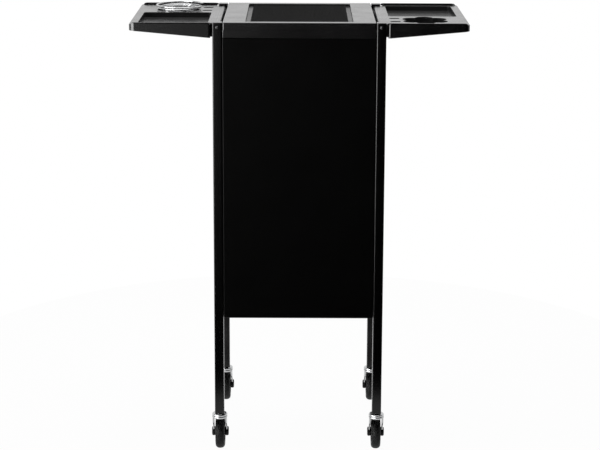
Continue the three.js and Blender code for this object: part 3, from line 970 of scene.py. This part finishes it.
def rod_outline(reach, radius, chamfer):
    """The outline of a rod with chamfered ends, from -reach to reach."""
    half = [(0, reach), (radius - chamfer, reach), (radius, reach - chamfer)]
    return [(r, -z) for r, z in half] + half[::-1]


def tray_hinge():
    reach = span("side_panel_right").y1
    pin_z = TRAY.rim - 6
    inner, foot = TRAY.x0 + 1.5, TRAY.low_in
    barrel = turned(rod_outline(reach, 6.5, 0.8), 32, "Y")
    shifted(barrel, LEG.x, 0, pin_z)
    web = soft_block(
        LEG.x + 2, TRAY.x0 + 4.2, -reach, reach, TRAY.rim - 3, TRAY.rim + 0.04, 0.3, 2,
    )
    stop = soft_block(179.4, inner, -reach, reach, foot + 0.2, foot + 7, 0.5, 2)
    gussets = [
        soft_block(TRAY.x0 - 4.8, inner, y - 1, y + 1, foot + 6, TRAY.rim - 2, 0.3, 2)
        for y in (-120, -60, 0, 60, 120)
    ]
    near, far = TRAY.y - 3, TRAY.y - 0.2
    tabs = [
        soft_block(TRAY.x0 - 3.4, inner, y0, y1, TRAY.rim - 1, TRAY.rim + 3.4, 0.4, 2)
        for y0, y1 in ((-far, -near), (near, far))
    ]
    return join(barrel, web, stop, *gussets, *tabs)


for side in ("left", "right"):
    whole = join(tray_solid(), tray_hinge())
    if side == "left":
        half_turn(whole)
    finish_piece(
        whole, "tool_tray_" + side, "tray_" + side, "black_plastic",
        [polished, grained], "side_tray_" + side, turn=False,
    )

# %% [markdown]
# Each tray swings on two headed pins, pushed through the legs into the
# knuckle. The head is a low dome, the one bright dot on each leg.

# %% Hinge pins
HEAD = 1.3

for corner, (sx, sy) in CORNERS.items():
    pin = span("tray_pin_" + corner)
    radius = (pin.x1 - pin.x0) / 2
    length = pin.y1 - pin.y0
    dome = [(0, 0), (radius * 0.55, 0.12), (radius * 0.85, 0.5), (radius, 1.1)]
    shank = [(2.0, HEAD), (2.0, length - 0.6), (1.4, length), (0, length)]
    rod = turned(dome + [(radius, HEAD)] + shank, 20, "Y")
    if sy > 0:
        half_turn(rod)
    outer_end = pin.y0 if sy < 0 else pin.y1
    finish_piece(
        shifted(rod, (pin.x0 + pin.x1) / 2, outer_end, (pin.z0 + pin.z1) / 2),
        "hinge_pin_" + corner, "frame", "zinc_steel", [zinc], "tray_pin_" + corner,
    )

# %% [markdown]
# The dryer holder is one length of chromed wire: a flared mouth, a ring that
# sits on the tray, and a cone that drops through the rosette. A small ring of
# points is set square to the coil at each step down it, the rings are bridged,
# and the two ends, a little narrower, are filled.

# %% Dryer spiral
WIRE = SimpleNamespace(x=-ROSETTE.x, y=-ROSETTE.y, radius=2.0, seat=TRAY.rim + 2.3)
TIP = 0.72
COIL = [
    (1.6, 50.0, 45.0, 9.0, 0.2),
    (0.9, 45.0, 35.4, 0.2, 0.2),
    (4.5, 35.4, 14.0, 0.2, -50.0),
]


def coil_points(per_turn=48):
    """Points down the coil: turns, radius from and to, height from and to."""
    points, turn = [], 0.0
    for turns, r0, r1, z0, z1 in COIL:
        steps = round(turns * per_turn)
        for i in range(0 if not points else 1, steps + 1):
            share = i / steps
            angle = 2 * math.pi * (turn + share * turns)
            radius = r0 + (r1 - r0) * share
            height = z0 + (z1 - z0) * share
            flat = (radius * math.cos(angle), radius * math.sin(angle))
            points.append(Vector((*flat, height)))
        turn += turns
    return points


def carry_ring(points, radius, sides=12):
    """A bmesh of rings set square to a line of points, and the rings."""
    bm = bmesh.new()
    rings = []
    for i, spot in enumerate(points):
        ahead = points[min(i + 1, len(points) - 1)] - points[max(i - 1, 0)]
        turn = ahead.to_track_quat("Z", "Y").to_matrix().to_4x4()
        size = radius * (TIP if i in (0, len(points) - 1) else 1.0)
        made = bmesh.ops.create_circle(
            bm, cap_ends=False, segments=sides, radius=size,
            matrix=Matrix.Translation(spot) @ turn,
        )
        rings.append(made["verts"])
    return bm, rings


def ring_edges(ring):
    return {e for v in ring for e in v.link_edges if e.other_vert(v) in ring}


def bridge_rings(bm, rings):
    """Joins neighbouring rings with faces and closes the two ends."""
    for a, b in zip(rings, rings[1:]):
        bmesh.ops.bridge_loops(bm, edges=list(ring_edges(a) | ring_edges(b)))
    for ring in (rings[0], rings[-1]):
        bmesh.ops.edgenet_fill(bm, edges=list(ring_edges(ring)))


spiral, rings = carry_ring(coil_points(), WIRE.radius)
bridge_rings(spiral, rings)
finish_piece(
    shifted(spiral, WIRE.x, WIRE.y, WIRE.seat), "dryer_wire_spiral", "dryer_holder",
    "chrome", [chrome], "dryer_spiral",
)

# %% [markdown]
# Five drawers fill the open side. Each is a thin-walled box with a thick
# front, two side flanges that run on ledges, and a scoop in the front's upper
# edge for the fingers. The scoop is cut as a notch with wide roundings.

# %% Drawers
TUB = SimpleNamespace(half=147.4, floor=8, brim=12, flange=157.3, corner=8)
FRONT = SimpleNamespace(thick=14, scoop_half=60.0, scoop_depth=22.0, slant=8)


def drawer(node, name):
    """The tub, its two flanges and the thick front, as one piece."""
    box = span(node)
    face_y = box.y1 - FRONT.thick
    low, brim = box.z0 + TUB.floor, box.z1 - TUB.brim
    corners = (TUB.corner,) * 4
    tub = plate(-TUB.half, TUB.half, box.y0, face_y, brim, corners, 5)
    inside = tub.faces[:][0]
    draw_in(tub, inside, 0.6, 0)
    draw_in(tub, inside, 1.5, 0)
    draw_in(tub, inside, 0.4, -0.4)
    draw_in(tub, inside, 0.8, -(brim - low - 8))
    round_over(tub, inside, 4, 4, True, -1)
    outer = plate(-TUB.half, TUB.half, box.y0, face_y, low, corners, 5)
    top_face = rise(outer, outer.faces[:][0], brim - low)
    bmesh.ops.delete(outer, geom=[top_face], context="FACES_ONLY")
    walls = join(tub, outer)
    bmesh.ops.remove_doubles(walls, verts=walls.verts, dist=0.001)
    flanges = [
        soft_block(x0, x1, box.y0, face_y + 0.5, brim - 3, brim, 0.5, 2)
        for x0, x1 in ((-TUB.flange, -TUB.half), (TUB.half, TUB.flange))
    ]
    finish_piece(
        join(walls, *flanges, grip_front(box, face_y)), name, node, "black_plastic",
        [polished, grained], node,
    )


def grip_front(box, face_y):
    """The drawer's thick front, with a finger scoop in its upper edge."""
    half, edge, high = FRONT.scoop_half, box.x1, box.z1
    notch = high - FRONT.scoop_depth
    outline = [
        (-edge, box.z0), (edge, box.z0), (edge, high), (half + FRONT.slant, high),
        (half, notch), (-half, notch), (-half - FRONT.slant, high), (-edge, high),
    ]
    bm = cut_plate([(x, face_y, z) for x, z in outline], (0, box.y1 - face_y, 0))
    deep = [
        e for e in bm.edges
        if abs(e.verts[0].co.y - e.verts[1].co.y) > 1
        and abs(abs(e.verts[0].co.x) - half) < FRONT.slant + 1
    ]
    bmesh.ops.bevel(
        bm, geom=deep, offset=7, offset_type="OFFSET", segments=5,
        profile=0.5, affect="EDGES", clamp_overlap=True, material=-1,
    )
    return round_edges(bm, 1.4, 3)


for number in range(1, 6):
    drawer(f"drawer_{number}", f"moulded_drawer_{number}")

for side in ("left", "right"):
    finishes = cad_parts["drawer_guide_" + side].data.materials
    finishes.clear()
    finishes.append(grained)
print("drawer guides keep their measured shape, in grained plastic")

# %% [markdown]
# A castor has a plastic plug with a flange in the foot of the leg, a zinc
# stem, a pressed chrome fork whose crown turns on balls, and a wheel. The
# crown is a turned cup with a dark groove, where its two halves run on each
# other. The cheeks are cut from plate and rounded, then joined to the crown.

# %% Castor forks
fork_box = span("castor_fork_front_right")
wheel_box = span("castor_wheel_front_right")
CASTOR = SimpleNamespace(
    top=fork_box.z1, wheel=(wheel_box.z1 - wheel_box.z0) / 2,
    trail=(wheel_box.y0 + wheel_box.y1) / 2 + LEG.y,
    half_width=(wheel_box.x1 - wheel_box.x0) / 2,
)
CHEEK = SimpleNamespace(inner=12.6, outer=15.4, eye=8.4)


def crown():
    """The swivel head: a domed cup over a race ring, with a groove between."""
    top, rim = CASTOR.top, 16.5
    dome = quarter(2.6, 5, rim - 2.6, top, 1, -1)
    groove = [
        (rim, top - 4.2), (rim - 0.5, top - 4.8), (rim - 2.0, top - 5.0),
        (rim - 2.0, top - 5.9), (rim - 0.5, top - 6.1), (rim, top - 6.7),
    ]
    below = [
        (rim, top - 8.6), (rim - 0.9, top - 10.0), (12.0, top - 10.0), (11.2, top - 9.0),
        (10.0, top - 6.4), (5.8, top - 6.4), (5.8, top - 3.2),
    ]
    return turned([(5.8, top - 3.2), (5.8, top), *dome, *groove, *below], 48)


def cheek(x0, x1):
    """One side plate, from the crown back and down to the axle."""
    top, eye_y, eye_z = CASTOR.top, CASTOR.trail, CASTOR.wheel
    back = [
        (-8.6, top - 7.2), (-8.9, top - 13), (-5.5, top - 22),
        (eye_y - 9.5, eye_z + 14), (eye_y - 7.6, eye_z + 8),
    ]
    angles = [math.radians(176 + i * 16) for i in range(13)]
    eye = [
        (eye_y + CHEEK.eye * math.cos(a), eye_z + CHEEK.eye * math.sin(a)) for a in angles
    ]
    front = [(14.6, top - 15), (12, top - 7.2)]
    bm = cut_plate([(x0, y, z) for y, z in back + eye + front], (x1 - x0, 0, 0))
    return round_edges(bm, 0.8, 3)


print("wheel axis trails the stem by", round(CASTOR.trail, 1), "mm")

# %% [markdown]
# Tyre and hub are one turned outline, from the bore out over the hub's step
# and the tyre's rounded shoulder to the tread, with a fine mould line in the
# middle. Only half of it is written, because the other half is the same.
# Faces inside the tyre get the second material, and five spokes stand on each
# side of the hub.

# %% Wheels
HUB = SimpleNamespace(edge=26.8, spokes=5, bore=4.3)


def wheel_part():
    """Tyre and hub in one turned outline, with a mould line round the tread."""
    w, r = CASTOR.half_width, CASTOR.wheel
    hub = [
        (HUB.bore, w), (8.0, w), (8.6, w - 0.5), (9.6, w - 3.0), (10.2, w - 3.4),
        (21.6, w - 3.4), (22.4, w - 3.0), (23.6, w - 0.7), (24.4, w - 0.3), (26.0, w - 0.3),
    ]
    seam = [(26.5, w - 0.9), (27.1, w - 0.9), (27.6, w - 0.3)]
    tyre = [
        (r - 8.2, w - 0.05), (r - 6.6, w), (r - 4.9, w - 0.5), (r - 3.3, w - 1.5),
        (r - 1.9, w - 3.0), (r - 0.9, w - 4.8), (r - 0.3, w - 6.8), (r - 0.1, w - 8.4),
        (r - 0.1, 0.6), (r, 0.4),
    ]
    half = hub + seam + tyre
    outline = half + [(radius, -z) for radius, z in reversed(half)] + [half[0]]
    bm = turned(outline, 64, "X")
    for face in bm.faces:
        centre = face.calc_center_median()
        out = math.hypot(centre.y, centre.z)
        face.material_index = 1 if out < HUB.edge else 0
    spokes = []
    for i in range(HUB.spokes):
        for x0, x1 in ((1.4 - w, 3.6 - w), (w - 3.6, w - 1.4)):
            spoke = soft_block(x0, x1, -1.6, 1.6, 9.4, 23.2, 0.5, 2)
            for face in spoke.faces:
                face.material_index = 1
            spokes.append(rotated(spoke, i * 2 * math.pi / HUB.spokes, "X"))
    return join(bm, *spokes)


print("wheels", 2 * CASTOR.wheel, "mm across with", HUB.spokes, "spokes a side")

# %% [markdown]
# A round black cover hides each end of the axle. It is a turned cap with a
# skirt round the fork's eye, and a collar fills the gap between the fork and
# the wheel.

# %% Axle covers
COVER = SimpleNamespace(seat=15.8, bore=4.35)


def axle_cover():
    """The cover over one end of the axle and the collar behind it, facing +X."""
    seat, bore = COVER.seat, COVER.bore
    cap = [
        (0, seat + 2.4), (5.2, seat + 2.4), (5.6, seat + 2.1), (6.4, seat + 2.1),
        (6.8, seat + 2.35), (8.0, seat + 2.2), (9.0, seat + 1.8), (9.7, seat + 1.1),
        (10.0, seat), (10.1, seat - 3.2), (9.9, seat - 3.5), (9.05, seat - 3.5),
        (9.0, seat + 0.2), (bore, seat + 0.2), (bore, seat + 1.3), (0, seat + 1.3),
    ]
    collar = [
        (bore, seat - 3.3), (bore, seat - 5.5), (8.9, seat - 5.5), (9.5, seat - 5.0),
        (9.5, seat - 3.5), (9.2, seat - 3.3), (bore, seat - 3.3),
    ]
    return join(turned(cap, 32, "X"), turned(collar, 32, "X"))


print("covers sit", COVER.seat, "mm from the middle of the wheel")

# %% [markdown]
# The four castors are put together from these parts. Plug and stem stay with
# the frame, the fork, axle and covers turn with the swivel, and the wheel
# spins on its own body. All four trail to the same side, as they do after the
# trolley has been pushed.

# %% Castors


def foot_plug(box):
    """The flange under the leg and the stub inside it."""
    flange = plate(box.x0, box.x1, box.y0, box.y1, box.z0, (LEG_CORNER,) * 4, 4)
    rise(flange, flange.faces[:][0], 2.0)
    stub = block(
        box.x0 + 1.9, box.x1 - 1.9, box.y0 + 1.9, box.y1 - 1.9, box.z0 + 1.9, box.z1,
    )
    return join(flange, round_edges(stub, 0.7, 2))


def stem_part(z0, z1):
    """The stem: its head below, a washer on the crown, and the shank above."""
    top = CASTOR.top
    return turned([
        (0, z0), (6.5, z0), (8.2, z0 + 0.8), (8.2, z0 + 2.2), (5.5, z0 + 2.5),
        (5.5, top + 0.3), (9.2, top + 0.32), (9.2, top + 0.85), (5.5, top + 0.9),
        (5.5, z1 - 1), (4.6, z1), (0, z1),
    ], 28)


for corner, (sx, sy) in CORNERS.items():
    x, y = sx * LEG.x, sy * LEG.y
    axis = (x, y + CASTOR.trail, CASTOR.wheel)
    swivel, hub = "swivel_" + corner, "wheel_" + corner
    finish_piece(
        foot_plug(span("stem_socket_" + corner)), "foot_plug_" + corner, "frame",
        "black_plastic", [polished], "stem_socket_" + corner,
    )
    stem = span("castor_stem_" + corner)
    finish_piece(
        shifted(stem_part(stem.z0, stem.z1), x, y), "castor_stem_part_" + corner, "frame",
        "zinc_steel", [zinc], "castor_stem_" + corner,
    )
    cheeks = cheek(CHEEK.inner, CHEEK.outer), cheek(-CHEEK.outer, -CHEEK.inner)
    finish_piece(
        shifted(join(crown(), *cheeks), x, y), "chrome_fork_" + corner, swivel,
        "chrome", [chrome], "castor_fork_" + corner,
    )
    axle = span("castor_axle_" + corner)
    rod = turned(rod_outline((axle.x1 - axle.x0) / 2, 4.0, 0.6), 24, "X")
    finish_piece(
        shifted(rod, *axis), "axle_rod_" + corner, swivel,
        "zinc_steel", [zinc], "castor_axle_" + corner,
    )
    finish_piece(
        shifted(wheel_part(), *axis), "tyred_wheel_" + corner, hub,
        "wheel_black", [tread, grained], "castor_wheel_" + corner,
    )
    for letter, cover in (("a", axle_cover()), ("b", half_turn(axle_cover()))):
        finish_piece(
            shifted(cover, *axis), f"axle_cover_{letter}_{corner}", swivel,
            "black_plastic", [tread], f"axle_cap_{letter}_{corner}",
        )

# %% [markdown]
# The floor is a pale disc, just large enough for the trolley's shadow. To the
# camera, and in reflections, nearly all of its brightness is a plain white, so
# that it runs into the white beyond and keeps only a breath of the shadow.

# %% Floor
PLAIN_SHARE = 0.97


def ray_kinds(finish):
    """What kind of ray asks for the shade, as three signals."""
    return [
        finish.node("ShaderNodeLightPath", output=kind)
        for kind in ("Is Camera Ray", "Is Glossy Ray", "Is Transmission Ray")
    ]


bm = bmesh.new()
bmesh.ops.create_circle(bm, cap_ends=True, segments=96, radius=0.95)
floor_mesh = bpy.data.meshes.new("studio_floor")
bm.to_mesh(floor_mesh)
bm.free()
floor = bpy.data.objects.new("studio_floor", floor_mesh)
floor.location = (0, 0.35, -0.0005)
bpy.context.scene.collection.objects.link(floor)

paper = Finish(bpy.data.materials.new("white_paper"))
from_camera, from_gloss, from_glass = ray_kinds(paper)
seen = from_camera.most(from_gloss).most(from_glass)
matte = paper.node("ShaderNodeBsdfDiffuse", {}, {"Color": (0.9, 0.9, 0.9, 1)})
glow = paper.node("ShaderNodeEmission", {}, {"Color": (1, 1, 1, 1), "Strength": 1.0})
mixed = paper.node("ShaderNodeMixShader", {}, {0: seen * PLAIN_SHARE, 1: matte, 2: glow})
paper.node("ShaderNodeOutputMaterial", {}, {"Surface": mixed})
floor_mesh.materials.append(paper.owner)
print("floor disc", round(floor.dimensions.x, 2), "m across")

# %% [markdown]
# The world is a white studio behind the trolley and a dim one in front of it.
# The camera only sees white. Reflections see the white sweep behind, which
# silvers the level tops at a low angle, and the dim side, which keeps the
# upright faces deep black. A bright window at the front left is also there in
# reflections alone: every rounded upright finds it and shows it as a thin
# line. Ordinary light from the world is an even grey.

# %% World
WINDOW_LIGHT, LEFT_LIGHT, DIM_LIGHT, DARKEST, EVEN_LIGHT = 14, 1.3, 0.01, 0.002, 0.12

world = bpy.data.worlds.new("studio")
bpy.context.scene.world = world
sky = Finish(world)
way = sky.node("ShaderNodeTexCoord", output="Generated")
split = sky.node("ShaderNodeSeparateXYZ", {}, {"Vector": way})
parts = {axis: Signal(sky, split.socket.node.outputs[axis]) for axis in "XYZ"}
behind = sky.between(parts["Y"], -0.15, 0.35)
height = sky.between(parts["Z"], -0.26, -0.12) * sky.between(parts["Z"], 0.25, 0.05)
leftward = sky.between(parts["X"], -0.03, -0.12)
window = sky.between(parts["X"], -0.3, -0.42) * sky.between(parts["Y"], -0.2, -0.5)
dim = height * (leftward * LEFT_LIGHT + window * WINDOW_LIGHT + DIM_LIGHT) + DARKEST
sweep = behind.most(dim)
from_camera, from_gloss, from_glass = ray_kinds(sky)
mirror = from_gloss.most(from_glass)
even, studio, white = (
    sky.node("ShaderNodeBackground", {}, {"Color": (1, 1, 1, 1), "Strength": strength})
    for strength in (EVEN_LIGHT, sweep, 1.0)
)
reflected = sky.node("ShaderNodeMixShader", {}, {0: mirror, 1: even, 2: studio})
shown = sky.node("ShaderNodeMixShader", {}, {0: from_camera, 1: reflected, 2: white})
sky.node("ShaderNodeOutputWorld", {}, {"Surface": shown})
print("world", world.name, "with", len(world.node_tree.nodes), "nodes")

# %% [markdown]
# Two soft lamps do the rest. A tall one at the front left gives the upright
# faces a little more light on that side. A wide one overhead lights the level
# faces and the floor, and lays a soft shadow under the trolley.

# %% Lamps


def soft_lamp(name, spot, aim, width, depth, watts):
    data = bpy.data.lights.new(name, "AREA")
    data.shape, data.size, data.size_y, data.energy = "RECTANGLE", width, depth, watts
    lamp = bpy.data.objects.new(name, data)
    lamp.location = spot
    towards = Vector(aim) - Vector(spot)
    lamp.rotation_euler = towards.to_track_quat("-Z", "Y").to_euler()
    bpy.context.scene.collection.objects.link(lamp)
    print(name, watts, "W")


soft_lamp("left_window", (-1.9, -0.75, 1.25), (0, -0.1, 0.75), 0.4, 0.8, 10)
soft_lamp("overhead", (0, 0.4, 3.0), (0, 0, 0), 2.2, 2.2, 50)

# %% [markdown]
# Colours are shown as they are.

# %% Show colours as they are
bpy.context.scene.view_settings.view_transform = "Standard"
